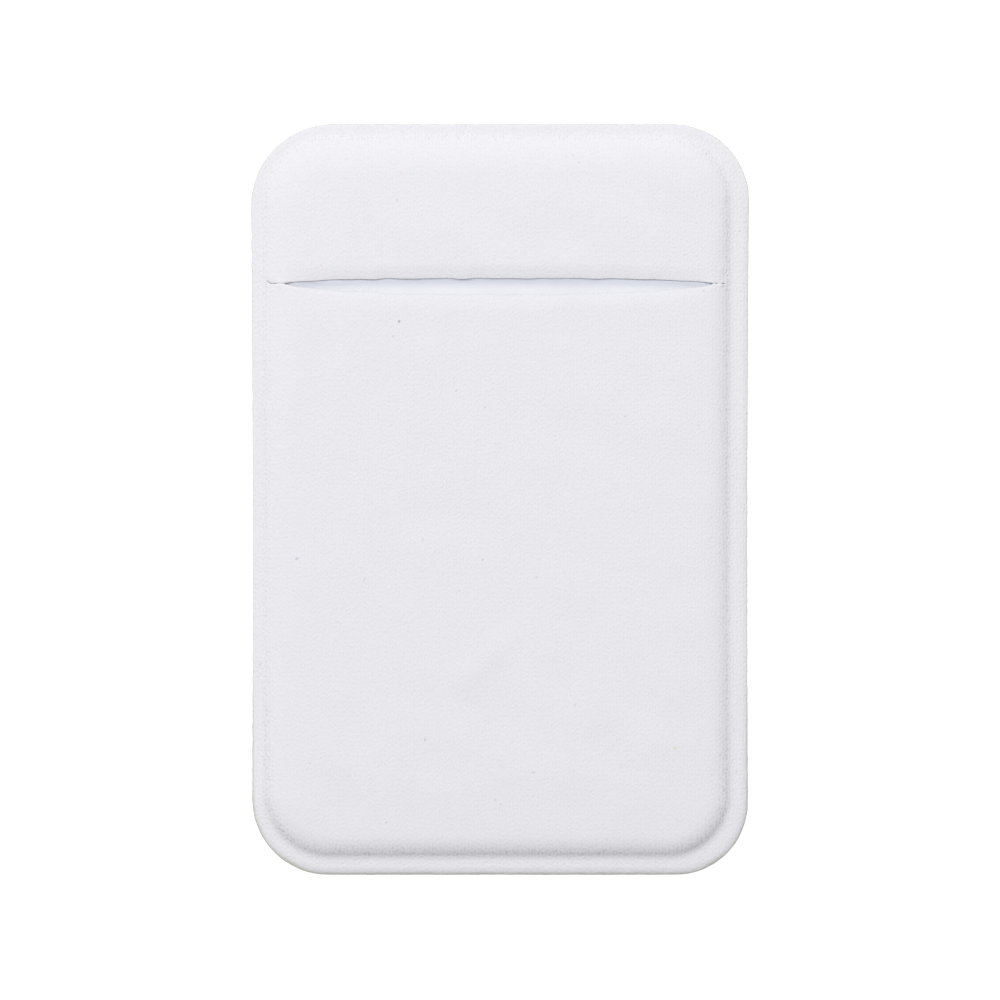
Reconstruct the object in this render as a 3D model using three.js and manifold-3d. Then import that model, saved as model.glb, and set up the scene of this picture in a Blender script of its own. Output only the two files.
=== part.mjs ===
// A stick-on card holder for the back of a phone. Two moulded front panels of foam-backed knit meet
// at a slit, and are welded round their rim to a padded back panel. A card slides in between. Behind
// the back panel are an adhesive sheet and its release liner.
// Millimetres. The holder lies on its back: +X is its right, +Y its top, +Z out of its front face,
// and the origin is the middle of the liner's back face.
import * as THREE from "three";
import { mergeVertices } from "three/addons/utils/BufferGeometryUtils.js";
import Module from "manifold-3d";

const wasm = await Module();
wasm.setup();

// The die-cut outline, which the front and back panels share
const bodyWidth = 63.4;
const bodyLength = 96;
const cornerRadii = { bottomLeft: 9.8, bottomRight: 9.3, topRight: 9.8, topLeft: 10.6 };

// The sheets at the back
const linerThickness = 0.12;
const adhesiveThickness = 0.3;
const adhesiveMargin = 2.2; // from the die-cut outline in to the adhesive sheet
const linerOverhang = 0.6; // the liner is cut a little larger, for a finger nail

// The pressing that both front panels and the back panel are moulded to
const rimWidth = 2.2; // the mean width of the flat rim
const padShiftX = -0.5; // the pressing sits a little to the left of the outline
const padShiftY = 0.55; // and a little towards the top
const padCornerRadii = { bottomLeft: 8.3, bottomRight: 7.8, topRight: 8, topLeft: 8.9 };
const weldWidth = 1; // from the crease in to the pocket's side

// The front: a rim that falls a little to its cut edge, a soft crease, a shoulder and a slightly
// crowned pad
const frontRimThickness = 0.7; // the laminate where the press has welded it down
const frontPadThickness = 0.75; // the laminate over the pocket
const shoulderWidth = 4; // from the crease in to where the pad is level
const crownRise = 0.15;
const crownRun = 9;
const creaseRise = 0.2; // how high the crease lies over the rim
const creaseRun = 0.85; // and the width over which the rim climbs to it
const edgeRun = 0.7; // the rim falls to the cut edge over this width
const edgeDrop = 0.3;
const pocketRound = 1.5; // the pocket's side curves up to its ceiling over this width

// The back: flat at the rim, with a low cushion that the lining covers
const backRimThickness = 0.6;
const cushionRise = 0.2;
const cushionClearance = 0.5; // from the pocket's side in to the cushion
const cushionRound = 0.8;
const pocketHeight = 0.8; // room for a bank card of 0.76

// The slit between the two front panels
const slitFromTop = 20.5; // from the top of the outline to the line where the panels meet
const slitWidth = 54.6; // of the open part
const slitCentreX = -0.15;
const upperLipRise = 0.8;
const lowerLipDrop = 1.28;
const jointGap = 0.1; // beside the open part the panels butt, with a hairline between them
const upperLipRoll = 1.7; // the upper lip curls down over this width
const upperLipDepth = 0.24;
const lowerLipRoll = 2.1; // the lower lip dips more gently
const lowerLipDepth = 0.2;

const creaseFullness = 3; // how much steeper the rim is at the crease than on average
const shoulderFullness = 2.7; // and the shoulder
const cornerSteps = 6; // a corner's arc has twice as many facets
const roundSteps = 4;
const creaseSteps = 3;
const shoulderSteps = 8;
const slitSteps = 44;

// The heights of the layers, from the liner's back face
const backFace = linerThickness + adhesiveThickness;
const weldPlane = backFace + backRimThickness;
const rimTop = weldPlane + frontRimThickness;
const creaseTop = rimTop + creaseRise;
const liningTop = weldPlane + cushionRise;
const pocketCeiling = liningTop + pocketHeight;
const padTop = pocketCeiling + frontPadThickness;
const slitY = bodyLength / 2 - slitFromTop;

const body = { width: bodyWidth, length: bodyLength, radii: cornerRadii, x: 0, y: 0 };
const pad = {
  width: bodyWidth - 2 * rimWidth,
  length: bodyLength - 2 * rimWidth,
  radii: padCornerRadii,
  x: padShiftX,
  y: padShiftY,
};

// A rounded rectangle, drawn anticlockwise and offset inwards by inset
function outline(plan, inset = 0) {
  const smallestRadius = 0.4;
  const left = plan.x - plan.width / 2 + inset;
  const right = plan.x + plan.width / 2 - inset;
  const bottom = plan.y - plan.length / 2 + inset;
  const top = plan.y + plan.length / 2 - inset;
  const shape = new THREE.Shape();
  const arc = (corner, sideX, sideY, from) => {
    const radius = Math.max(plan.radii[corner] - inset, smallestRadius);
    const x = (sideX < 0 ? left : right) - sideX * radius;
    const y = (sideY < 0 ? bottom : top) - sideY * radius;
    shape.absarc(x, y, radius, from, from + Math.PI / 2, false);
  };
  arc("bottomLeft", -1, -1, Math.PI);
  arc("bottomRight", 1, -1, -Math.PI / 2);
  arc("topRight", 1, 1, 0);
  arc("topLeft", -1, 1, Math.PI / 2);
  shape.closePath();
  return shape;
}

// One ring of a loft: the outline's points at height z
function ring(plan, inset, z) {
  const points = outline(plan, inset).getPoints(cornerSteps);
  points.pop(); // the last point repeats the first
  return points.map((p) => new THREE.Vector3(p.x, p.y, z));
}

// A closed mesh through rings of equal length, the first and last of them capped.
// flat gives the two coordinates in which the caps are triangulated.
function loft(rings, flat = (p) => new THREE.Vector2(p.x, p.y)) {
  const count = rings[0].length;
  const positions = rings.flat().flatMap((p) => [p.x, p.y, p.z]);
  const index = [];
  for (let k = 0; k + 1 < rings.length; k++) {
    for (let i = 0; i < count; i++) {
      const a = k * count + i;
      const b = k * count + ((i + 1) % count);
      index.push(a, b, b + count, a, b + count, a + count);
    }
  }
  const cap = (k, up) => {
    for (const [a, b, c] of THREE.ShapeUtils.triangulateShape(rings[k].map(flat), [])) {
      const first = k * count;
      index.push(first + a, first + (up ? b : c), first + (up ? c : b));
    }
  };
  cap(0, false);
  cap(rings.length - 1, true);
  const geometry = new THREE.BufferGeometry();
  geometry.setAttribute("position", new THREE.Float32BufferAttribute(positions, 3));
  geometry.setIndex(index);
  return geometry;
}

function solidOf(geometry) {
  const merged = mergeVertices(geometry, 1e-4);
  return new wasm.Manifold(
    new wasm.Mesh({
      numProp: 3,
      vertProperties: merged.attributes.position.array,
      triVerts: new Uint32Array(merged.index.array),
    }),
  );
}

function geometryOf(solid) {
  const mesh = solid.getMesh();
  const geometry = new THREE.BufferGeometry();
  geometry.setAttribute("position", new THREE.BufferAttribute(mesh.vertProperties, 3));
  geometry.setIndex(new THREE.BufferAttribute(mesh.triVerts, 1));
  return faceted(geometry);
}

function faceted(geometry) {
  const flat = geometry.toNonIndexed();
  flat.computeVertexNormals();
  return flat;
}

// A quarter round as [inward, up] shares: it leaves a wall upright and ends level
function quarter(steps) {
  return Array.from({ length: steps + 1 }, (_, k) => {
    const angle = (k / steps) * (Math.PI / 2);
    return [1 - Math.cos(angle), Math.sin(angle)];
  });
}

// A soft rise as [inward, up] shares: steepest at its foot, the more so the fuller it is, and level
// at its end
function swell(steps, fullness) {
  return Array.from({ length: steps + 1 }, (_, k) => {
    const inward = k / steps;
    return [inward, 1 - (1 - inward) ** fullness];
  });
}

// The whole moulded front before it is cut in two: from the pocket's ceiling outwards along the
// underside, up the cut edge, in over the rim and the crease, and up the shoulder to the crown
function mouldedFront() {
  const pocketSide = pocketCeiling - weldPlane;
  const underside = quarter(roundSteps)
    .reverse()
    .map(([inward, up]) => ring(pad, weldWidth + pocketRound * inward, weldPlane + pocketSide * up));
  const edge = swell(roundSteps, 2).map(([inward, up]) =>
    ring(body, edgeRun * inward, rimTop - edgeDrop * (1 - up)),
  );
  const crease = swell(creaseSteps, creaseFullness)
    .reverse()
    .map(([outward, down]) => ring(pad, -creaseRun * outward, creaseTop - creaseRise * down));
  const shoulder = swell(shoulderSteps, shoulderFullness)
    .slice(1)
    .map(([inward, up]) => ring(pad, shoulderWidth * inward, creaseTop + (padTop - creaseTop) * up));
  const crown = [0.35, 0.7, 1].map((f) =>
    ring(pad, shoulderWidth + crownRun * f, padTop + crownRise * f * (2 - f)),
  );
  return loft([
    ...underside,
    ring(body, 0, weldPlane),
    ...edge,
    ...crease,
    ...shoulder,
    ...crown,
  ]);
}

// The back panel: a flat rim, and a cushion that fills the pressing up to the pocket
function paddedBack() {
  const cushion = quarter(roundSteps).map(([inward, up]) =>
    ring(pad, weldWidth + cushionClearance + cushionRound * inward, weldPlane + cushionRise * up),
  );
  return loft([ring(body, 0, backFace), ring(body, 0, weldPlane), ...cushion]);
}

// How far the slit is open at x, from 1 in the middle to 0 at its ends and beyond
function openShare(x, flatness) {
  const taper = 0.6;
  const t = Math.min(Math.abs((x - slitCentreX) / (slitWidth / 2)), 1);
  return (1 - t ** flatness) ** taper;
}
const upperLip = (x) => slitY + jointGap / 2 + upperLipRise * openShare(x, 4);
const lowerLip = (x) => slitY - jointGap / 2 - lowerLipDrop * openShare(x, 2.3);

// What is cut away beside a lip: everything on the far side of its line, and a thin strip on the
// near side, so that the lip curls down. side is 1 for the upper panel and -1 for the lower one.
function lipCutter(lip, side, roll, depth) {
  const past = 2; // how far the cutter reaches past the body
  const leastRoll = 0.02; // beside the open part the lip is all but square
  const top = padTop + crownRise;
  const far = slitY - side * (bodyLength + past);
  const stations = Array.from({ length: slitSteps + 1 }, (_, k) => {
    // Closer together towards the ends of the slit, where the lips turn in
    const across = -Math.cos((k / slitSteps) * Math.PI);
    return slitCentreX + (across * slitWidth) / 2;
  });
  const reach = bodyWidth / 2 + past;
  const rings = [-reach, ...stations, reach].map((x) => {
    const y = lip(x);
    const share = Math.max(openShare(x, 4), leastRoll);
    const curve = swell(roundSteps, 2).map(([inward, up]) => [
      y + side * roll * share * inward,
      top - depth * share * (1 - up),
    ]);
    const section = [
      [far, -past],
      [y, -past],
      ...curve,
      [y + side * roll * share, top + past],
      [far, top + past],
    ];
    return section.map(([py, pz]) => new THREE.Vector3(x, py, pz));
  });
  const ordered = side > 0 ? rings : rings.reverse();
  return solidOf(loft(ordered, (p) => new THREE.Vector2(side * p.y, p.z)));
}

// A flat sheet cut to the body's outline less a margin, from one height up
function sheet(margin, from, thickness) {
  const geometry = new THREE.ExtrudeGeometry(outline(body, margin), {
    depth: thickness,
    bevelEnabled: false,
    curveSegments: cornerSteps,
  });
  return geometry.translate(0, 0, from);
}

const knitWhite = new THREE.MeshStandardMaterial({ color: 0xe9e8ed, roughness: 0.95, metalness: 0 });
const liningWhite = new THREE.MeshStandardMaterial({ color: 0xebeef3, roughness: 0.85, metalness: 0 });
const adhesiveGrey = new THREE.MeshStandardMaterial({ color: 0xc9c8c2, roughness: 0.6, metalness: 0 });
const linerPaper = new THREE.MeshStandardMaterial({ color: 0xf1efe6, roughness: 0.45, metalness: 0 });

const holder = new THREE.Group();

function add(name, geometry, material) {
  const mesh = new THREE.Mesh(geometry, material);
  mesh.name = name;
  holder.add(mesh);
}

const front = solidOf(mouldedFront());
const upperPanel = front.subtract(lipCutter(upperLip, 1, upperLipRoll, upperLipDepth));
const lowerPanel = front.subtract(lipCutter(lowerLip, -1, lowerLipRoll, lowerLipDepth));

add("upper_front_panel", geometryOf(upperPanel), knitWhite);
add("lower_front_panel", geometryOf(lowerPanel), knitWhite);
add("back_panel", faceted(paddedBack()), liningWhite);
add("adhesive_sheet", sheet(adhesiveMargin, linerThickness, adhesiveThickness), adhesiveGrey);
add("release_liner", sheet(adhesiveMargin - linerOverhang, 0, linerThickness), linerPaper);

export default holder;
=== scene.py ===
import bpy
import numpy as np
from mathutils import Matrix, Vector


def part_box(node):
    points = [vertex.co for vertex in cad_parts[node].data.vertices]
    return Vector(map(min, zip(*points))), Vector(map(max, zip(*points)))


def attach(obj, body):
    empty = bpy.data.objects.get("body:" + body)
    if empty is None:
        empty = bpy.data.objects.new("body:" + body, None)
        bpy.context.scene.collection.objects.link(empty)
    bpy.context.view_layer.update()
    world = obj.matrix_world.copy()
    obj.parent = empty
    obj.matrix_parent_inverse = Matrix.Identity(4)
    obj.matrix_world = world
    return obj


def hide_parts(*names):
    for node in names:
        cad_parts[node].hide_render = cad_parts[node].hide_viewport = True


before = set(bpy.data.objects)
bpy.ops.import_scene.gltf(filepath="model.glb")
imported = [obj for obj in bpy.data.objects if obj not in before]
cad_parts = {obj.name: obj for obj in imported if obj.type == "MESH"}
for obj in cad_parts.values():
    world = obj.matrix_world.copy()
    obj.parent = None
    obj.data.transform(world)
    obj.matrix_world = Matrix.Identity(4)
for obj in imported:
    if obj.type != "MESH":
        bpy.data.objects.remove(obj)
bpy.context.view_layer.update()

# Release liner
# A sheet of waxed paper that covers the adhesive until the holder is stuck on. It is plain, and
# cut a little larger than the adhesive so that a finger nail gets under it.


def display(red, green, blue):
    """A colour as a screen shows it, from 0 to 255, turned into the light that it stands for."""
    shown = np.array([red, green, blue]) / 255
    light = np.where(shown <= 0.04045, shown / 12.92, ((shown + 0.055) / 1.055) ** 2.4)
    return (*light.tolist(), 1.0)


def place(tree, kind, inputs=None, **settings):
    """Adds a node, sets its properties, and links or fills its inputs by name or number."""
    node = tree.nodes.new(kind)
    for name, value in settings.items():
        setattr(node, name, value)
    for key, value in (inputs or {}).items():
        if isinstance(value, bpy.types.NodeSocket):
            tree.links.new(value, node.inputs[key])
        else:
            node.inputs[key].default_value = value
    return node


def calculate(tree, operation, *terms):
    """The result of one Math node."""
    return place(tree, "ShaderNodeMath", dict(enumerate(terms)), operation=operation).outputs[0]


def blend(tree, share, first, second):
    """first where share is 0, second where it is 1."""
    terms = {"Factor": share, 6: first, 7: second}
    return place(tree, "ShaderNodeMix", terms, data_type="RGBA").outputs[2]


def new_group(name, inputs, outputs):
    """An empty shader group with these named sockets, and its inside ends."""
    tree = bpy.data.node_groups.new(name, "ShaderNodeTree")
    for label, kind in inputs.items():
        tree.interface.new_socket(label, in_out="INPUT", socket_type="NodeSocket" + kind)
    for label, kind in outputs.items():
        tree.interface.new_socket(label, in_out="OUTPUT", socket_type="NodeSocket" + kind)
    return tree, tree.nodes.new("NodeGroupInput").outputs, tree.nodes.new("NodeGroupOutput").inputs


def use_group(tree, group, **inputs):
    """Places a group in a material, with its inputs given in plain words."""
    named = {label.replace("_", " "): value for label, value in inputs.items()}
    return place(tree, "ShaderNodeGroup", named, node_tree=group).outputs


def make_grain():
    """Grain: a fine and a coarse noise, which give a surface small relief and uneven colour."""
    tree, given, wanted = new_group(
        "grain",
        {"Vector": "Vector", "Size": "Float", "Tone": "Color", "Second Tone": "Color"},
        {"Color": "Color", "Height": "Float"},
    )
    fineness = calculate(tree, "DIVIDE", 1.0, given["Size"])
    coarseness = calculate(tree, "MULTIPLY", fineness, 0.12)
    fine, coarse = (
        place(tree, "ShaderNodeTexNoise", {"Vector": given["Vector"], "Scale": scale, "Detail": detail})
        for scale, detail in ((fineness, 3.0), (coarseness, 2.0))
    )
    both = calculate(tree, "ADD", fine.outputs["Fac"], coarse.outputs["Fac"])
    share = calculate(tree, "MULTIPLY", both, 0.5)
    tree.links.new(blend(tree, share, given["Tone"], given["Second Tone"]), wanted["Color"])
    tree.links.new(fine.outputs["Fac"], wanted["Height"])
    return tree


def new_material(name):
    """An empty material: its tree, its Principled shader and its Object coordinates."""
    material = bpy.data.materials.new(name)
    material.use_nodes = True
    tree = material.node_tree
    shader = tree.nodes["Principled BSDF"]
    place_of = tree.nodes.new("ShaderNodeTexCoord").outputs["Object"]
    return material, tree, shader, place_of


def relief(tree, shader, height, depth):
    """Turns a height from 0 to 1 into bump of this depth in metres."""
    bump = place(tree, "ShaderNodeBump", {"Height": height, "Distance": depth, "Strength": 1.0})
    tree.links.new(bump.outputs["Normal"], shader.inputs["Normal"])


def grained_material(name, tone, second_tone, size, depth, roughness):
    """A plain sheet's finish: two close tones and a fine relief."""
    material, tree, shader, where = new_material(name)
    found = use_group(tree, grain, Vector=where, Size=size, Tone=tone, Second_Tone=second_tone)
    tree.links.new(found["Color"], shader.inputs["Base Color"])
    relief(tree, shader, found["Height"], depth)
    shader.inputs["Roughness"].default_value = roughness
    return material


def finish_node(name, material):
    """Gives a CAD node's object its material."""
    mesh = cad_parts[name].data
    mesh.materials.clear()
    mesh.materials.append(material)


grain = make_grain()
waxed_paper = grained_material(
    "waxed_paper",
    tone=display(238, 236, 226),
    second_tone=display(246, 245, 238),
    size=0.0004,
    depth=0.00001,
    roughness=0.42,
)
finish_node("release_liner", waxed_paper)

# Adhesive sheet
# Double-sided acrylic foam that holds the holder to a phone. It is die-cut a little inside the
# outline and bonded to the back panel, and only its edge shows between the panel and the liner.

acrylic_foam = grained_material(
    "acrylic_foam",
    tone=display(196, 195, 188),
    second_tone=display(212, 211, 206),
    size=0.00025,
    depth=0.00002,
    roughness=0.55,
)
finish_node("adhesive_sheet", acrylic_foam)

# Back panel
# A smooth bluish lining over a thin foam cushion, pressed flat round its rim. Both front panels
# are welded to that rim, and the lining shows as the floor of the pocket in the slit.

# The padded pieces are worked out in millimetres and made in metres
mm = 0.001
corners = {"bottom_left": 9.8, "bottom_right": 9.3, "top_right": 9.8, "top_left": 10.6}
pad_corners = {"bottom_left": 8.3, "bottom_right": 7.8, "top_right": 8.0, "top_left": 8.9}
rim_width = 2.2
pad_shift_x = -0.5
pad_shift_y = 0.5
slit_from_top = 20.45
slit_width = 54.6
slit_centre_x = -0.15
slit_sharpness = 0.6
upper_lip_rise = 0.69
upper_lip_flatness = 3
lower_lip_drop = 1.38
lower_lip_flatness = 2.3
upper_lip_droop = 0.34
droop_flatness = 4

back_low, back_high = (np.array(corner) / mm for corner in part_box("back_panel"))
front_low, front_high = (np.array(corner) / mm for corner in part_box("lower_front_panel"))
body_edges = (back_low[0], back_high[0], back_low[1], back_high[1])
pad_edges = tuple(
    edge + inward * rim_width + shift
    for edge, inward, shift in zip(
        body_edges, (1, -1, 1, -1), (pad_shift_x, pad_shift_x, pad_shift_y, pad_shift_y)
    )
)
slit_y = back_high[1] - slit_from_top
weld_plane = front_low[2]


def inset_of(x, y, edges, radii):
    """How far inside a rounded rectangle each point lies: from the nearest side, or in a corner
    the corner's radius less the distance from its centre."""
    left, right, bottom, top = edges
    west = x < (left + right) / 2
    south = y < (bottom + top) / 2
    lower = np.where(west, radii["bottom_left"], radii["bottom_right"])
    upper = np.where(west, radii["top_left"], radii["top_right"])
    radius = np.where(south, lower, upper)
    from_side = np.minimum(x - left, right - x)
    from_end = np.minimum(y - bottom, top - y)
    across = np.maximum(radius - from_side, 0)
    along = np.maximum(radius - from_end, 0)
    in_corner = (across > 0) & (along > 0)
    return np.where(in_corner, radius - np.hypot(across, along), np.minimum(from_side, from_end))


def spread(*stretches):
    """Stations along a line from (start, end, step) stretches, each end given once."""
    parts = [np.linspace(a, b, max(round((b - a) / step), 1) + 1)[:-1] for a, b, step in stretches]
    return np.append(np.concatenate(parts), stretches[-1][1])


def end_ring(left, right, far, left_radius, right_radius, lip, along_side, along_end, arc_steps):
    """The plan of one ring of a panel, as x and the distance v from the slit's line: from the lip
    down the left side, round both far corners, and back up the right side to the lip."""
    turn = np.linspace(0, np.pi / 2, arc_steps + 1)[1:-1]
    left_start = lip(np.array(left))
    right_start = lip(np.array(right))
    left_v = left_start + (far - left_radius - left_start) * along_side
    right_v = right_start + (far - right_radius - right_start) * along_side[::-1]
    end_x = left + left_radius + (right - right_radius - left - left_radius) * along_end
    x = [
        np.full_like(left_v, left),
        left + left_radius * (1 - np.cos(turn)),
        end_x,
        right - right_radius * (1 - np.sin(turn)),
        np.full_like(right_v, right),
    ]
    v = [
        left_v,
        far - left_radius * (1 - np.sin(turn)),
        np.full_like(end_x, far),
        far - right_radius * (1 - np.cos(turn)),
        right_v,
    ]
    return np.stack([np.concatenate(x), np.concatenate(v)], -1)


def panel_plan(side, lip, fine, coarse):
    """The plan of a panel that lies above (side 1) or below (side -1) the slit, as two grids of
    points. The first runs round the far end, from the cut edge over the rim and the crease to
    inner_inset, where its corners close up. The second fills the rectangle that this leaves.
    Inside the crease the rings follow its corners truly as far as true_inset. Points lie closest
    beside the cut edge, the crease and the lip."""
    inner_inset = 8.0
    true_inset = 4.2
    edge_part = 0.7
    edge_rings = 11
    level_rings = 7
    crease_part = 0.9
    crease_rings = 8
    foot_run = 0.4
    foot_step = 0.08
    lip_run = 2.0
    end_length = 44.0
    arc_length = 14.0
    names = ("top_left", "top_right") if side > 0 else ("bottom_left", "bottom_right")
    far_index = 3 if side > 0 else 2
    body_far = abs(body_edges[far_index] - slit_y)
    pad_far = abs(pad_edges[far_index] - slit_y)
    length = body_far - corners[names[0]]
    along_side = spread((0, lip_run, fine), (lip_run, length, coarse)) / length
    along_end = spread((0, 1, coarse / end_length))
    arc_steps = round(arc_length / coarse)

    def ring(left, right, far, radii):
        return end_ring(left, right, far, *radii, lip, along_side, along_end, arc_steps)

    body = ring(body_edges[0], body_edges[1], body_far, [corners[name] for name in names])
    crease = ring(pad_edges[0], pad_edges[1], pad_far, [pad_corners[name] for name in names])
    width = np.hypot(*(crease - body).T)
    outer = edge_part * np.linspace(0, 1, edge_rings)[:, None] ** 1.5 / width
    near = 1 - crease_part * np.linspace(1, 0, crease_rings)[:, None] / width
    level = np.linspace(outer[-1], near[0], level_rings)[1:-1]
    shares = np.concatenate([outer, level, near])[..., None]
    rings = list(body + (crease - body) * shares)
    insets = spread(
        (0, foot_run, foot_step), (foot_run, true_inset, fine), (true_inset, inner_inset, coarse)
    )
    for inset in insets[1:]:
        left_over = max(inset - true_inset, 0) / (inner_inset - true_inset)
        radii = [(pad_corners[name] - min(inset, true_inset)) * (1 - left_over) for name in names]
        rings.append(ring(pad_edges[0] + inset, pad_edges[1] - inset, pad_far - inset, radii))
    across = pad_edges[0] + inner_inset + (pad_edges[1] - pad_edges[0] - 2 * inner_inset) * along_end
    start = lip(across)
    down = start + (pad_far - inner_inset - start) * along_side[:, None]
    middle = np.stack([np.broadcast_to(across, down.shape), down], -1)
    grids = (np.array(rings), middle)
    return [np.stack([grid[..., 0], slit_y + side * grid[..., 1]], -1) for grid in grids]


def join_grids(grids):
    """One list of plan points and anticlockwise triangles from grids whose edges meet."""
    corner_lists = []
    start = 0
    for rows, columns in (grid.shape[:2] for grid in grids):
        index = start + np.arange(rows * columns).reshape(rows, columns)
        a, b, c, d = index[:-1, :-1], index[1:, :-1], index[1:, 1:], index[:-1, 1:]
        corner_lists += [np.stack(three, -1).reshape(-1, 3) for three in ((a, b, c), (a, c, d))]
        start += rows * columns
    points = np.concatenate([grid.reshape(-1, 2) for grid in grids])
    _, first, same = np.unique(np.round(points, 5), axis=0, return_index=True, return_inverse=True)
    points = points[first]
    triangles = same.reshape(-1)[np.concatenate(corner_lists)]
    one, two, three = (points[triangles[:, k]] for k in range(3))
    area = (two - one)[:, 0] * (three - one)[:, 1] - (two - one)[:, 1] * (three - one)[:, 0]
    triangles = np.where((area < 0)[:, None], triangles[:, ::-1], triangles)
    return points, triangles[np.abs(area) > 1e-9]


def open_edges(triangles, count):
    """The directed edges that belong to one triangle only."""
    edges = np.concatenate([triangles[:, [0, 1]], triangles[:, [1, 2]], triangles[:, [2, 0]]])
    forward = edges[:, 0] * count + edges[:, 1]
    backward = edges[:, 1] * count + edges[:, 0]
    return edges[~np.isin(forward, backward)]


def closed_shell(name, grids, top, bottom, nudge, marks, material):
    """A closed piece from one plan: a top surface, the same plan again as its underside, and an
    upright wall along their open edges. top, bottom, nudge and the marks, which the material
    reads, are functions of the plan. The underside is marked as cut edge all over."""
    points, triangles = join_grids(grids)
    count = len(points)
    x, y = points.T
    moved = points + nudge(x, y)
    upper = np.column_stack([moved, top(x, y)])
    lower = np.column_stack([moved, bottom(x, y)])
    a, b = open_edges(triangles, count).T
    wall = np.stack([a + count, b + count, b, a], -1)
    faces = triangles.tolist() + (triangles[:, ::-1] + count).tolist() + wall.tolist()
    mesh = bpy.data.meshes.new(name)
    mesh.from_pydata((np.concatenate([upper, lower]) * mm).tolist(), [], faces)
    for mark, share_at in marks.items():
        under = np.full(count, float(mark == "cut_edge"))
        attribute = mesh.attributes.new(mark, "FLOAT", "POINT")
        attribute.data.foreach_set("value", np.concatenate([share_at(x, y), under]))
    mesh.shade_smooth()
    mesh.set_sharp_from_angle(angle=np.radians(50))
    mesh.materials.append(material)
    piece = bpy.data.objects.new(name, mesh)
    bpy.context.scene.collection.objects.link(piece)
    return piece


def rise(share, power=2.4):
    """A convex rise from 0 to 1: steepest at its foot and level at its top."""
    return 1 - (1 - np.clip(share, 0, 1)) ** power


def quarter_round(share):
    """The rise of a quarter circle, upright at 0 and level at 1."""
    return np.sqrt(1 - (1 - np.clip(share, 0, 1)) ** 2)


def ripple(x, y, wavelength, seed):
    """Smooth noise of about unit size: 16 plane waves of nearly one length in random directions."""
    random = np.random.default_rng(seed)
    heading = random.uniform(0, 2 * np.pi, 16)
    number = 2 * np.pi / (wavelength * random.uniform(0.7, 1.5, 16))
    phase = random.uniform(0, 2 * np.pi, 16)
    from_x = np.multiply.outer(x, np.cos(heading) * number)
    from_y = np.multiply.outer(y, np.sin(heading) * number)
    return np.sin(from_x + from_y + phase).sum(-1) / np.sqrt(8)


bow_at_end = 0.0062
bow_in_middle = -0.0022
bow_middle_y = -8.0
bow_half_length = 45.0
edge_wander = 0.013
edge_wander_reach = 0.4


def settle(x, y, seed):
    """How far each plan point moves: the sides bow in a little below the middle, by a share of
    the width, and the die-cut edge wanders by about a hundredth of a millimetre."""
    bow = bow_at_end * ((y - bow_middle_y) / bow_half_length) ** 2 + bow_in_middle
    from_edge = np.maximum(inset_of(x, y, body_edges, corners), 0)
    wander = edge_wander * np.exp(-from_edge / edge_wander_reach)
    return np.column_stack(
        [x * bow + wander * ripple(x, y, 1.6, seed), wander * ripple(x, y, 1.6, seed + 1)]
    )


def open_share(x, flatness):
    """How far the slit is open: 1 in its middle and 0 at its ends and beyond, along a curve like
    an ellipse's that stays wide open for longer where flatness is larger."""
    t = np.clip(np.abs((x - slit_centre_x) / (slit_width / 2)), 0, 1)
    return (1 - t**flatness) ** slit_sharpness


def along_slit(x, beyond=1.2):
    """1 along the slit, falling over two millimetres to 0 this far beyond its ends."""
    return np.clip((slit_width / 2 + beyond - np.abs(x - slit_centre_x)) / 2, 0, 1)


# Where the press bit deeper or less: how far from the middle a zone starts, and over what length
# it grows to its full effect
bottom_zone = (20.0, 22.0)
top_zone = (34.0, 6.0)
side_zone = (15.0, 12.0)
right_bite = 0.4
right_bite_fade = 0.6
weld_press = 0.37


def within(distance, zone):
    """0 up to the zone's start, rising evenly to 1 over its length."""
    start, length = zone
    return np.clip((distance - start) / length, 0, 1)


def at_bottom(y):
    """0 over most of the holder, rising to 1 along its bottom."""
    return within(-y, bottom_zone)


def at_top(y):
    """0 over most of the holder, rising to 1 along its top."""
    return within(y, top_zone)


def bite(x, y):
    """How much deeper the press bit: 1 along the bottom and less along the right side."""
    bottom = at_bottom(y)
    return bottom + right_bite * within(x, side_zone) * (1 - right_bite_fade * bottom)


def weld_height(x, y):
    """The plane where the front panels are welded on, lowest where the press bit deepest."""
    return weld_plane - weld_press * bite(x, y)


lining_level = weld_plane + 0.95
cushion_inset = 1.3
cushion_round = 0.8
crown_inset = 3.0
crown_run = 9.0
crown_rise = 0.15
lip_swell = 0.685
swell_beyond = 0.65
lining_waves = 0.006
slit_fall = 0.46
slit_fall_run = 1.85
lip_reach = 3.0
lip_shade_reach = 0.9
wave_height = 0.02
wave_fade_run = 6.0
back_edge_reach = 0.3


def crown(inset):
    """The gentle rise of the whole pad towards its middle."""
    share = np.clip((inset - crown_inset) / crown_run, 0, 1)
    return crown_rise * share * (2 - share)


def pad_waves(x, y):
    """The slow waves of the moulded pad, which fade out near its edge."""
    inset = inset_of(x, y, pad_edges, pad_corners)
    return wave_height * ripple(x, y, 9, 21) * np.clip(inset / wave_fade_run, 0, 1)


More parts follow.
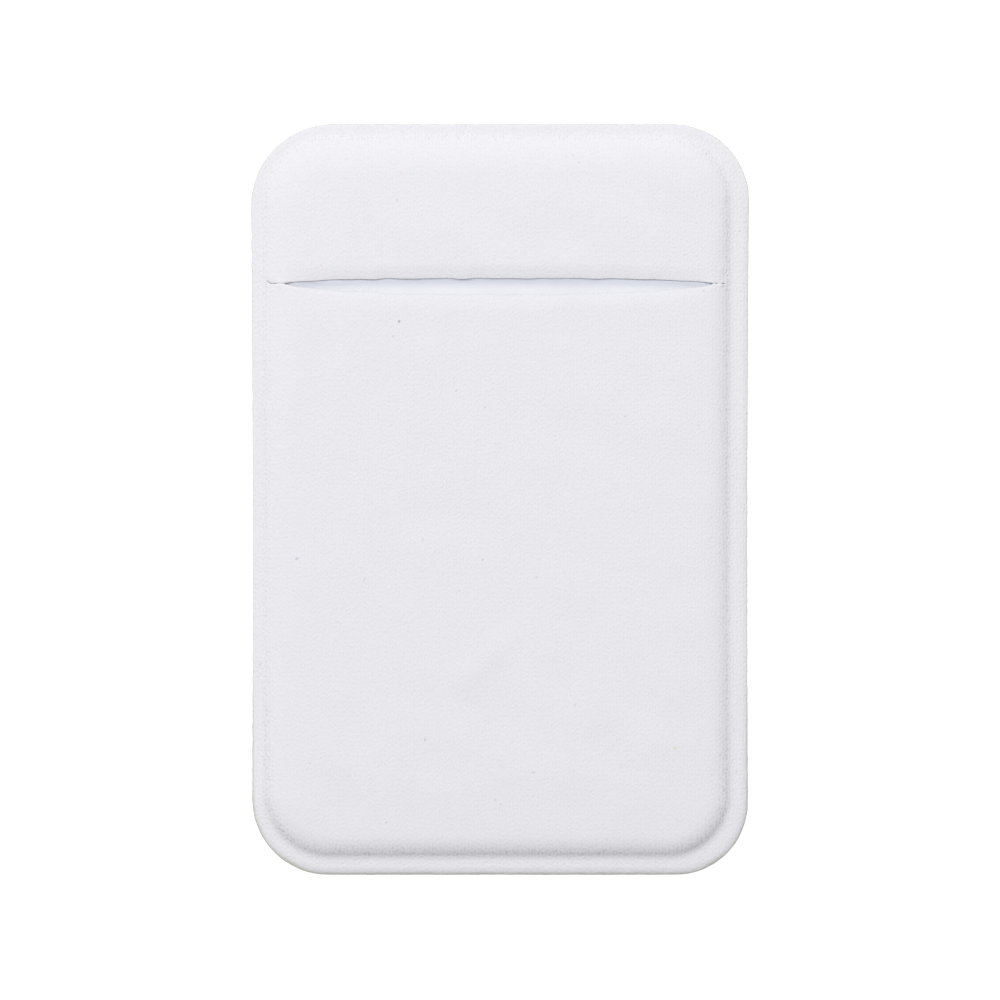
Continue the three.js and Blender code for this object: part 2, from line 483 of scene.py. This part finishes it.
def lining_top(x, y):
    """The rim, then a cushion with a rounded side, up to just under the front panels. Along the
    slit it swells up to the upper lip and has the pad's waves, slopes down to the lower lip and
    fades out under it."""
    inset = inset_of(x, y, pad_edges, pad_corners)
    cushion = quarter_round((inset - cushion_inset) / cushion_round)
    below = slit_y + upper_lip_rise * open_share(x, upper_lip_flatness) - y
    swell = lip_swell + crown(inset) + pad_waves(x, y)
    swell = swell - upper_lip_droop * open_share(x, droop_flatness)
    swell = swell - slit_fall * rise(below / slit_fall_run, 3)
    beyond = np.maximum(-below, below - upper_lip_rise - lower_lip_drop)
    swell = np.maximum(swell, 0) * along_slit(x, swell_beyond) * (1 - rise(beyond / lip_reach, 2))
    level = lining_level + swell + lining_waves * ripple(x, y, 7, 5)
    return weld_height(x, y) + cushion * (level - weld_height(x, y))


def painted_lip_shade(x, y):
    """Painted shade: 1 beside the upper lip and under it, where its shadow falls on the lining, fading
    over a millimetre towards the lower lip.
    """
    below = slit_y + upper_lip_rise * open_share(x, upper_lip_flatness) - y
    return np.exp(-((np.maximum(below, 0) / lip_shade_reach) ** 2))


def back_cut_edge(x, y):
    """1 on the cut edge of the foam, fading to 0 just inside it."""
    return np.clip(1 - inset_of(x, y, body_edges, corners) / back_edge_reach, 0, 1)


def straight_lip(x):
    """The slit's line, where the two halves of the back panel's plan join."""
    return np.zeros_like(x)


foam_tone = display(196, 196, 187)
foam_second_tone = display(213, 213, 205)


def lining_material():
    """Smooth bluish lining, with the greyish foam showing at the cut edge, and a painted bluish shade
    beside and under the upper lip.
    """
    material, tree, shader, where = new_material("smooth_lining")
    cloth = use_group(
        tree,
        grain,
        Vector=where,
        Size=0.00022,
        Tone=display(234, 235, 241),
        Second_Tone=display(240, 241, 246),
    )
    # Painted shade: beside and under the upper lip the lining is blended to a bluer, darker tone that
    # stands in for the lip's shadow.
    shade = place(tree, "ShaderNodeAttribute", attribute_name="painted_lip_shade").outputs["Fac"]
    lining = blend(tree, shade, cloth["Color"], display(230, 234, 246))
    foam = use_group(
        tree, grain, Vector=where, Size=0.0003, Tone=foam_tone, Second_Tone=foam_second_tone
    )
    edge = place(tree, "ShaderNodeAttribute", attribute_name="cut_edge").outputs["Fac"]
    tree.links.new(blend(tree, edge, lining, foam["Color"]), shader.inputs["Base Color"])
    relief(tree, shader, cloth["Height"], 0.000012)
    shader.inputs["Roughness"].default_value = 0.85
    shader.inputs["Specular IOR Level"].default_value = 0.25
    return material


back_plan = [
    grid for side in (-1, 1) for grid in panel_plan(side, straight_lip, fine=0.35, coarse=0.9)
]
back_panel = closed_shell(
    "padded_back",
    back_plan,
    top=lining_top,
    bottom=lambda x, y: np.full_like(x, back_low[2]),
    nudge=lambda x, y: settle(x, y, 31),
    marks={"cut_edge": back_cut_edge, "painted_lip_shade": painted_lip_shade},
    material=lining_material(),
)
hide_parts("back_panel")
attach(back_panel, "root")

# Lower front panel
# Foam-backed stretch knit, moulded hot: a welded rim like a narrow pillow, a sharp crease, a soft
# shoulder and an almost level pad. Its upper edge dips gently to form the lower lip of the slit.

# Values named press or pressed are changes where the press bit deepest, and values named slack
# are changes along the top, where it bit least. A fullness is the power of a rise.
rim_top = weld_plane + 0.7
rim_press = 0.33
rim_slack = 0.1
rim_tilt = 0.07
crease_rise = 0.2
crease_rise_pressed = 0.16
crease_rise_slack = 0.08
crease_run = 1.1
crease_run_pressed = 0.2
edge_run = 0.9
edge_run_more_at_bottom = 0.2
edge_drop = 0.2
edge_drop_lost_at_top = 0.7
edge_fullness = 2.2
edge_round = 0.05
shoulder_run = 3.8
shoulder_run_pressed = 0.9
shoulder_fullness = 2.5
shoulder_fullness_pressed = 1.9
shoulder_fullness_slack = 0.5
quick_waves = 0.003
groove_width = 0.22
rim_groove_depth = 0.012
pad_groove_depth = 0.09
weld_width = 1.0
pocket_round = 1.0
laminate_thickness = 0.75
lip_thickness = 0.06
lower_lip_wander = 0.03
upper_lip_wander = 0.035
bend_x = -29.9
bend_rise = 0.5
bend_reach = 0.4
pad_top = front_high[2] - crown_rise
pocket_ceiling = pad_top - laminate_thickness


def joint_gap(x):
    """Half the gap where the panels butt: closed on the rims and open a little at the puckers between
    the ends of the slit and the crease. The stations were chosen one by one."""
    station = [-29.9, -29.5, -28.6, -28.2, -27.8, -27.4, 26.9, 27.4, 27.6, 27.8, 28.2, 28.4, 28.7]
    gap = [0.004, 0.028, 0.03, 0.002, 0.01, 0.003, 0.003, 0.002, 0.04, 0.002, 0.004, 0.05, 0.003]
    return np.interp(x, station, gap)


def joint_bend(x):
    """The joint turns up along the crease at its left end."""
    return bend_rise * np.exp(-(((x - bend_x) / bend_reach) ** 2))


def lower_lip(x):
    """How far the lower panel's edge lies below the slit's line."""
    slit = lower_lip_drop * open_share(x, lower_lip_flatness)
    wander = lower_lip_wander * open_share(x, droop_flatness) * ripple(x, 0 * x, 4, 11)
    return joint_gap(x) - joint_bend(x) + slit + wander


def upper_lip(x):
    """How far the upper panel's edge lies above the slit's line."""
    slit = upper_lip_rise * open_share(x, upper_lip_flatness)
    wander = upper_lip_wander * open_share(x, droop_flatness) * ripple(x, 0 * x, 3, 12)
    return joint_gap(x) + joint_bend(x) + slit + wander


# Soft dents and swellings in the pad: centre x and y, half width, half height, turn in degrees
# and depth, in millimetres, negative for a dent
dents = [
    (-10.0, -2.6, 5.0, 2.6, 20, -0.09),
    (-1.5, -20.0, 6.5, 1.8, 40, 0.1),
    (16.5, -27.0, 5.0, 3.5, 0, -0.05),
    (0.0, -27.0, 4.0, 3.0, 0, -0.04),
    (10.0, 21.5, 10.0, 1.8, 0, -0.05),
    (24.0, -34.5, 3.5, 5.0, 0, 0.05),
    (27.5, 28.4, 1.6, 1.6, 0, -0.08),
]


# Small puckers beside the ends of the slit, listed in the same way
puckers = [
    (28.75, 28.75, 0.12, 0.42, -22, -0.09),
    (29.05, 28.55, 0.12, 0.42, -22, -0.09),
    (28.2, 27.5, 0.24, 0.24, 0, 0.12),
    (28.15, 29.4, 0.3, 0.35, 0, 0.07),
    (-28.1, 27.5, 0.35, 0.5, 0, 0.08),
    (-29.2, 28.4, 0.3, 0.3, 0, 0.05),
]


def swellings(x, y, places):
    """The sum of soft hollows and swellings, each an elliptical bell."""
    total = np.zeros_like(x)
    for centre_x, centre_y, half_width, half_height, turn, depth in places:
        angle = np.radians(turn)
        across = (x - centre_x) * np.cos(angle) + (y - centre_y) * np.sin(angle)
        along = (y - centre_y) * np.cos(angle) - (x - centre_x) * np.sin(angle)
        total = total + depth * np.exp(-((across / half_width) ** 2) - (along / half_height) ** 2)
    return total


def press_slack(x, y):
    """How much looser the press was: 1 along the top, half along the left side, 0 at the bottom."""
    return np.maximum(at_top(y), 0.5 * within(-x, side_zone)) * (1 - at_bottom(y))


def rim_foot(x, y):
    """The rim's height at its foot, before it climbs to the crease."""
    return rim_top - rim_press * bite(x, y) + rim_slack * press_slack(x, y)


def crease_climb(x, y):
    """How far the rim climbs to the crease."""
    return crease_rise + crease_rise_pressed * bite(x, y) - crease_rise_slack * press_slack(x, y)


def rim_height(x, y):
    """The rim falls in a curve to the cut edge, most along the bottom, is rounded there, and
    climbs in a curve to the crease."""
    inset = inset_of(x, y, pad_edges, pad_corners)
    from_edge = inset_of(x, y, body_edges, corners)
    bottom = at_bottom(y)
    run = crease_run + crease_run_pressed * bite(x, y)
    level = rim_foot(x, y) + rim_tilt * inset + crease_climb(x, y) * (1 - rise(-inset / run, 3))
    edge_fall = edge_drop * (1 + bottom - edge_drop_lost_at_top * at_top(y))
    edge_part = from_edge / (edge_run + edge_run_more_at_bottom * bottom)
    level = level - edge_fall * (1 - rise(edge_part, edge_fullness))
    return level - edge_round * (1 - quarter_round(from_edge / edge_round))


def pad_height(x, y):
    """The shoulder rises in a curve from the crease to the crowned pad, wider and fuller where
    the press bit deeper. The pad has slow and quick waves, dents and puckers."""
    inset = inset_of(x, y, pad_edges, pad_corners)
    deep = bite(x, y)
    slack = press_slack(x, y)
    crease = rim_foot(x, y) + crease_climb(x, y)
    run = shoulder_run + shoulder_run_pressed * deep + slack
    fullness = shoulder_fullness + shoulder_fullness_pressed * deep - shoulder_fullness_slack * slack
    level = crease + (pad_top - crease) * rise(inset / run, fullness) + crown(inset)
    uneven = swellings(x, y, dents) + quick_waves * ripple(x, y, 2.6, 22)
    level = level + pad_waves(x, y) + uneven * np.clip(inset / wave_fade_run, 0, 1)
    return level + swellings(x, y, puckers)


def front_top(side, lip, roll, droop, fullness):
    """The height of a front panel's face: rim and pad, less the droop of the lip along the slit
    and the groove along the joint beyond its ends."""

    def height(x, y):
        inset = inset_of(x, y, pad_edges, pad_corners)
        from_lip = np.maximum(side * (y - slit_y) - lip(x), 0)
        share = open_share(x, droop_flatness)
        groove = 1 - quarter_round(from_lip / groove_width)
        rim = rim_height(x, y) - rim_groove_depth * groove
        pad = pad_height(x, y) - droop * share * (1 - rise(from_lip / roll, fullness))
        pad = pad - pad_groove_depth * (1 - share) ** 3 * groove * rise(inset / 0.8)
        return np.where(inset < 0, rim, pad)

    return height


def front_underside(side, lip, top):
    """The weld at the rim, then the pocket's side, curving up to its ceiling. The laminate is
    pressed thin along the lip, so its underside rises there almost to the top."""

    def height(x, y):
        inset = inset_of(x, y, pad_edges, pad_corners)
        from_lip = side * (y - slit_y) - lip(x)
        pinched = along_slit(x) * (1 - rise(from_lip / (lip_reach + 0.2), 2))
        ceiling = pocket_ceiling + pinched * (top(x, y) - lip_thickness - pocket_ceiling)
        pocket_side = quarter_round((inset - weld_width) / pocket_round)
        return weld_height(x, y) + (ceiling - weld_height(x, y)) * pocket_side

    return height


foam_strip = 0.1
grey_strip_more_at_bottom = 0.22
foam_strip_wander = 0.04
lip_edge_share = 0.4
lip_edge_reach = 0.1
pressed_reach = 1.6
# The painted shade along the crease: how far it reaches and how dark it is, both more where the press
# bit deeper
crease_shade_reach = 0.35
crease_shade_reach_pressed = 0.75
crease_shade = 0.4
crease_shade_pressed = 0.6


def front_cut_edge(side, lip):
    """1 on the cut edge, where the foam shows, over a strip that is widest at the bottom, so that the
    edge is greyer along the bottom, and less on the edge of the lip."""

    def share_at(x, y):
        wider = grey_strip_more_at_bottom + foam_strip_wander * ripple(x, y, 3, 61)
        strip = foam_strip + at_bottom(y) * wider
        outside = np.clip(1.3 - inset_of(x, y, body_edges, corners) / strip, 0, 1)
        from_lip = side * (y - slit_y) - lip(x)
        on_lip = np.exp(-((from_lip / lip_edge_reach) ** 2)) * open_share(x, droop_flatness)
        return np.maximum(outside, lip_edge_share * on_lip)

    return share_at


def pressed(x, y):
    """1 on the rim, where the knit is pressed hardest, fading to 0 up the shoulder. The knit's relief is
    deeper there, and its low places get a little more painted shade.
    """
    return np.clip(1 - inset_of(x, y, pad_edges, pad_corners) / pressed_reach, 0, 1)


def painted_crease_shade(x, y):
    """Painted shade along the crease: largest along it, above all at the bottom. It fades within a
    millimetre across the rim, and more slowly up the shoulder where the press bit deeper."""
    inset = inset_of(x, y, pad_edges, pad_corners)
    deep = bite(x, y)
    reach = crease_shade_reach + np.where(inset > 0, crease_shade_reach_pressed * deep, 0)
    return np.exp(-((inset / reach) ** 2)) * (crease_shade + crease_shade_pressed * deep)


def make_knit():
    """Knit: in every wale two legs of yarn stand side by side, a cosine across, and lean apart,
    so that each course is a zigzag, a cosine whose phase rises and falls across the wale. Each
    leg is out of step by a random amount, and noise makes the stitches wander and roughens the
    yarn. Holes is a mask of the low places."""
    tree, given, wanted = new_group(
        "knit",
        {"Vector": "Vector", "Wale": "Float", "Course": "Float", "Wander": "Float"},
        {"Height": "Float", "Holes": "Float"},
    )
    shift = place(tree, "ShaderNodeTexNoise", {"Vector": given["Vector"], "Scale": 700.0, "Detail": 2.0})
    centred = place(
        tree,
        "ShaderNodeVectorMath",
        {0: shift.outputs["Color"], 1: (0.5, 0.5, 0.5)},
        operation="SUBTRACT",
    )
    scaled = place(tree, "ShaderNodeVectorMath", {0: centred.outputs[0]}, operation="SCALE")
    tree.links.new(given["Wander"], scaled.inputs["Scale"])
    wandered = place(
        tree, "ShaderNodeVectorMath", {0: given["Vector"], 1: scaled.outputs[0]}, operation="ADD"
    )
    place_of = place(tree, "ShaderNodeSeparateXYZ", {0: wandered.outputs[0]}).outputs
    across = calculate(tree, "DIVIDE", place_of["X"], given["Wale"])
    along = calculate(tree, "DIVIDE", place_of["Y"], given["Course"])
    lean = calculate(tree, "PINGPONG", across, 0.5)
    leg = calculate(tree, "FLOOR", calculate(tree, "MULTIPLY", across, 2.0))
    step = place(tree, "ShaderNodeTexWhiteNoise", {"W": leg}, noise_dimensions="1D").outputs["Value"]
    leaning = calculate(tree, "MULTIPLY_ADD", lean, 1.3, along)
    phase = calculate(tree, "MULTIPLY_ADD", step, 0.6, leaning)
    zigzag = calculate(tree, "COSINE", calculate(tree, "MULTIPLY", phase, 2 * np.pi))
    legs = calculate(tree, "COSINE", calculate(tree, "MULTIPLY", across, 4 * np.pi))
    stitch = calculate(tree, "MULTIPLY", zigzag, calculate(tree, "MULTIPLY_ADD", legs, -0.35, 0.65))
    yarn = place(tree, "ShaderNodeTexNoise", {"Vector": given["Vector"], "Scale": 3200.0, "Detail": 2.0})
    relief_of = calculate(tree, "MULTIPLY_ADD", legs, -0.1, 0.5)
    relief_of = calculate(tree, "MULTIPLY_ADD", stitch, 0.15, relief_of)
    relief_of = calculate(tree, "MULTIPLY_ADD", yarn.outputs["Fac"], 1.0, relief_of)
    tree.links.new(relief_of, wanted["Height"])
    low = place(tree, "ShaderNodeMapRange", {"Value": relief_of, "From Min": 1.0, "From Max": 0.6})
    tree.links.new(low.outputs["Result"], wanted["Holes"])
    return tree


knit = make_knit()


def make_fleck():
    """Fleck: one fleck of lint, an ellipse on the cloth, with its middle in metres, its half length
    and half width, and its turn from the x axis. Mask is 1 on it and soft at its edge."""
    tree, given, wanted = new_group(
        "fleck",
        {"Vector": "Vector", "Middle": "Vector", "Turn": "Float", "Length": "Float", "Width": "Float"},
        {"Mask": "Float"},
    )
    offset = place(
        tree, "ShaderNodeVectorMath", {0: given["Vector"], 1: given["Middle"]}, operation="SUBTRACT"
    )
    turned = place(
        tree,
        "ShaderNodeVectorRotate",
        {"Vector": offset.outputs[0], "Angle": calculate(tree, "MULTIPLY", given["Turn"], -1.0)},
        rotation_type="Z_AXIS",
    )
    parts = place(tree, "ShaderNodeSeparateXYZ", {0: turned.outputs[0]}).outputs
    along = calculate(tree, "DIVIDE", parts["X"], given["Length"])
    across = calculate(tree, "DIVIDE", parts["Y"], given["Width"])
    squares = calculate(tree, "MULTIPLY_ADD", along, along, calculate(tree, "MULTIPLY", across, across))
    soft = place(tree, "ShaderNodeMapRange", {"Value": squares, "From Min": 1.6, "From Max": 0.4})
    tree.links.new(soft.outputs["Result"], wanted["Mask"])
    return tree


def make_scatter():
    """Scatter: small specks of fibre in random places, one to a cell at most. Share is the part of
    the cells that hold one."""
    tree, given, wanted = new_group(
        "scatter",
        {"Vector": "Vector", "Spacing": "Float", "Size": "Float", "Share": "Float"},
        {"Mask": "Float"},
    )
    density = calculate(tree, "DIVIDE", 1.0, given["Spacing"])
    cells = place(
        tree,
        "ShaderNodeTexVoronoi",
        {"Vector": given["Vector"], "Scale": density},
        voronoi_dimensions="2D",
    )
    reach = calculate(tree, "DIVIDE", given["Size"], given["Spacing"])
    near = calculate(tree, "SUBTRACT", 1.0, calculate(tree, "DIVIDE", cells.outputs["Distance"], reach))
    draw = place(tree, "ShaderNodeSeparateColor", {0: cells.outputs["Color"]}).outputs[0]
    chosen = calculate(tree, "LESS_THAN", draw, given["Share"])
    clamped = place(tree, "ShaderNodeClamp", {"Value": calculate(tree, "MULTIPLY", near, 2.0)})
    tree.links.new(calculate(tree, "MULTIPLY", clamped.outputs[0], chosen), wanted["Mask"])
    return tree


fleck = make_fleck()
scatter = make_scatter()
dark_lint = display(138, 136, 142)
grey_lint = display(190, 188, 193)
blue_lint = display(165, 182, 196)
red_lint = display(236, 192, 200)
yellow_lint = display(214, 212, 182)

# The flecks of lint that can be made out: middle x and y, half length and half width in
# millimetres, turn in degrees, and colour
lint = [
    (-12.87, 22.7, 0.2, 0.15, 60, dark_lint),
    (-13.65, 20.8, 0.2, 0.09, 40, grey_lint),
    (-5.6, 13.9, 0.17, 0.09, 30, grey_lint),
    (-1.9, 11.8, 0.17, 0.08, 80, grey_lint),
    (15.95, 10.6, 0.17, 0.09, 20, grey_lint),
    (-13.1, 38.2, 0.17, 0.08, 60, grey_lint),
    (-4.4, 47.7, 0.15, 0.08, 0, grey_lint),
    (10.1, 43.0, 0.17, 0.08, 40, grey_lint),
    (9.3, 43.9, 0.15, 0.07, 120, grey_lint),
    (-9.85, -5.15, 0.25, 0.06, 55, grey_lint),
    (-17.3, -10.2, 0.3, 0.07, 50, grey_lint),
    (-2.2, -7.7, 0.17, 0.12, 60, grey_lint),
    (-5.2, -11.6, 0.2, 0.06, 70, grey_lint),
    (4.7, -9.9, 0.17, 0.08, 30, grey_lint),
    (-25.9, -7.55, 0.24, 0.15, 20, blue_lint),
    (-9.55, -30.6, 0.2, 0.13, 75, grey_lint),
    (4.25, -34.8, 0.16, 0.12, 0, grey_lint),
    (9.55, -26.2, 0.17, 0.09, 90, grey_lint),
    (-24.2, -33.6, 0.16, 0.08, 40, grey_lint),
    (-0.6, -38.3, 0.15, 0.08, 0, grey_lint),
    (0.1, -38.9, 0.15, 0.08, 60, grey_lint),
    (-14.5, -41.2, 0.17, 0.08, 20, grey_lint),
    (30.2, -34.8, 0.17, 0.09, 90, grey_lint),
    (28.2, 11.2, 0.16, 0.08, 90, grey_lint),
    (25.3, 9.5, 0.15, 0.08, 0, grey_lint),
    (30.6, 34.3, 0.17, 0.08, 0, grey_lint),
    (-30.6, -21.0, 0.2, 0.09, 30, grey_lint),
    (-12.7, 41.7, 0.15, 0.09, 0, red_lint),
    (-22.8, 29.8, 0.14, 0.1, 30, red_lint),
    (28.5, -15.2, 0.17, 0.1, 60, red_lint),
    (8.8, -45.9, 0.15, 0.1, 0, red_lint),
    (28.25, -39.5, 0.14, 0.1, 0, red_lint),
    (25.9, 26.6, 0.15, 0.1, 60, red_lint),
    (-20.7, -15.6, 0.17, 0.06, 100, red_lint),
    (22.3, -31.7, 0.24, 0.2, 30, yellow_lint),
    (28.3, 8.2, 0.9, 0.07, 85, yellow_lint),
]


def knit_material():
    """White stretch knit, with the greyish foam showing at the cut edge, and painted shade in the knit's
    low places, deepest along the crease.
    """
    material, tree, shader, where = new_material("white_knit")
    stitches = use_group(tree, knit, Vector=where, Wale=0.000906, Course=0.00063, Wander=0.0008)
    tones = use_group(
        tree,
        grain,
        Vector=where,
        Size=0.0006,
        Tone=display(231, 230, 235),
        Second_Tone=display(235, 234, 239),
    )
    foam = use_group(
        tree, grain, Vector=where, Size=0.0003, Tone=foam_tone, Second_Tone=foam_second_tone
    )
    edge, rim, crease = (
        place(tree, "ShaderNodeAttribute", attribute_name=mark).outputs["Fac"]
        for mark in ("cut_edge", "pressed", "painted_crease_shade")
    )
    # Painted shade: the knit's low places are darkened, a little everywhere, a little more on the
    # pressed rim, and most along the crease, above all at the bottom.
    reach = calculate(tree, "MULTIPLY_ADD", rim, 0.03, 0.06)
    reach = calculate(tree, "MULTIPLY_ADD", crease, 0.4, reach)
    shaded = calculate(tree, "MULTIPLY", stitches["Holes"], reach)
    cloth = blend(tree, shaded, tones["Color"], display(150, 148, 152))
    fibres = use_group(tree, scatter, Vector=where, Spacing=0.004, Size=0.00016, Share=0.3)
    cloth = blend(tree, calculate(tree, "MULTIPLY", fibres["Mask"], 0.25), cloth, yellow_lint)
    for x, y, length, width, turn, tone in lint:
        found = use_group(
            tree,
            fleck,
            Vector=where,
            Middle=(x * mm, y * mm, 0),
            Turn=np.radians(turn),
            Length=length * mm,
            Width=width * mm,
        )
        cloth = blend(tree, calculate(tree, "MULTIPLY", found["Mask"], 0.55), cloth, tone)
    tree.links.new(blend(tree, edge, cloth, foam["Color"]), shader.inputs["Base Color"])
    strength = calculate(tree, "MULTIPLY_ADD", rim, 0.25, 1.0)
    relief(tree, shader, calculate(tree, "MULTIPLY", stitches["Height"], strength), 0.000052)
    shader.inputs["Roughness"].default_value = 0.95
    shader.inputs["Specular IOR Level"].default_value = 0.2
    return material


white_knit = knit_material()


def front_panel(name, node, side, lip, roll, droop, fullness):
    """A front panel on one side of the slit, in place of its CAD node. Along the slit its lip
    droops by this much over the width of the roll."""
    top = front_top(side, lip, roll, droop, fullness)
    piece = closed_shell(
        name,
        panel_plan(side, lip, fine=0.13, coarse=0.5),
        top=top,
        bottom=front_underside(side, lip, top),
        nudge=lambda x, y: settle(x, y, 41),
        marks={"cut_edge": front_cut_edge(side, lip), "pressed": pressed, "painted_crease_shade": painted_crease_shade},
        material=white_knit,
    )
    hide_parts(node)
    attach(piece, "root")


front_panel("pocket_panel", "lower_front_panel", -1, lower_lip, roll=2.1, droop=0.2, fullness=2.0)

# Upper front panel
# A narrow band of the same moulded knit. Its lower edge is rolled over as the slit's upper lip,
# and at both ends of the slit it butts against the lower panel.

front_panel(
    "top_band", "upper_front_panel", 1, upper_lip, roll=1.9, droop=upper_lip_droop, fullness=1.6
)

# Table, light and camera
# A white table that shows as pure white but keeps the holder's shadow, a large soft light beyond
# the holder's top, a bright room, and a long lens that looks straight down.

table_half = 3.0
table_corners = [
    (x * table_half, y * table_half, 0) for x, y in ((-1, -1), (1, -1), (1, 1), (-1, 1))
]
table_mesh = bpy.data.meshes.new("table")
table_mesh.from_pydata(table_corners, [], [(0, 1, 2, 3)])
table = bpy.data.objects.new("table", table_mesh)
bpy.context.scene.collection.objects.link(table)


table_glow = 0.82


def seen_directly(tree):
    """1 for what the camera sees, directly, in a gloss or through glass, and 0 for lighting."""
    path = tree.nodes.new("ShaderNodeLightPath").outputs
    seen = calculate(tree, "MAXIMUM", path["Is Camera Ray"], path["Is Glossy Ray"])
    return calculate(tree, "MAXIMUM", seen, path["Is Transmission Ray"])


def table_material():
    """Diffuse white, with a glow that only the camera sees and that whitens all but the shadow."""
    material, tree, shader, _ = new_material("white_table")
    shader.inputs["Base Color"].default_value = display(250, 250, 250)
    shader.inputs["Roughness"].default_value = 1.0
    shader.inputs["Specular IOR Level"].default_value = 0.0
    glow = calculate(tree, "MULTIPLY", seen_directly(tree), table_glow)
    tree.links.new(glow, shader.inputs["Emission Strength"])
    shader.inputs["Emission Color"].default_value = (1, 1, 1, 1)
    return material


table_mesh.materials.append(table_material())

room_light = 0.375
key_share = 0.725
key_from = np.array([-0.19, 0.56, 1.05])
key_size = (0.9, 0.7)

world = bpy.data.worlds.new("bright_room")
world.use_nodes = True
background = world.node_tree.nodes["Background"]
background.inputs["Color"].default_value = (1, 1, 1, 1)
seen = seen_directly(world.node_tree)
strength = calculate(world.node_tree, "MULTIPLY_ADD", seen, 1 - room_light, room_light)
world.node_tree.links.new(strength, background.inputs["Strength"])
bpy.context.scene.world = world

key_distance = np.linalg.norm(key_from)
key = bpy.data.lights.new("soft_key", "AREA")
key.shape = "RECTANGLE"
key.size, key.size_y = key_size
key.energy = key_share * np.pi**2 * key_distance**3 / key_from[2]
key_object = bpy.data.objects.new("soft_key", key)
key_object.location = key_from
key_object.rotation_euler = (
    np.arctan2(np.hypot(key_from[0], key_from[1]), key_from[2]),
    0,
    np.arctan2(key_from[0], -key_from[1]),
)
bpy.context.scene.collection.objects.link(key_object)

frame_width = 0.12774
camera_distance = 0.64
camera_shift_y = -0.00006
sensor_width = 36.0
camera = bpy.data.cameras.new("camera")
camera.sensor_width = sensor_width
camera.lens = sensor_width * camera_distance / frame_width
camera_object = bpy.data.objects.new("camera", camera)
camera_object.location = (0, camera_shift_y, camera_distance + rim_top * mm)
bpy.context.scene.collection.objects.link(camera_object)
bpy.context.scene.camera = camera_object
bpy.context.scene.view_settings.view_transform = "Standard"
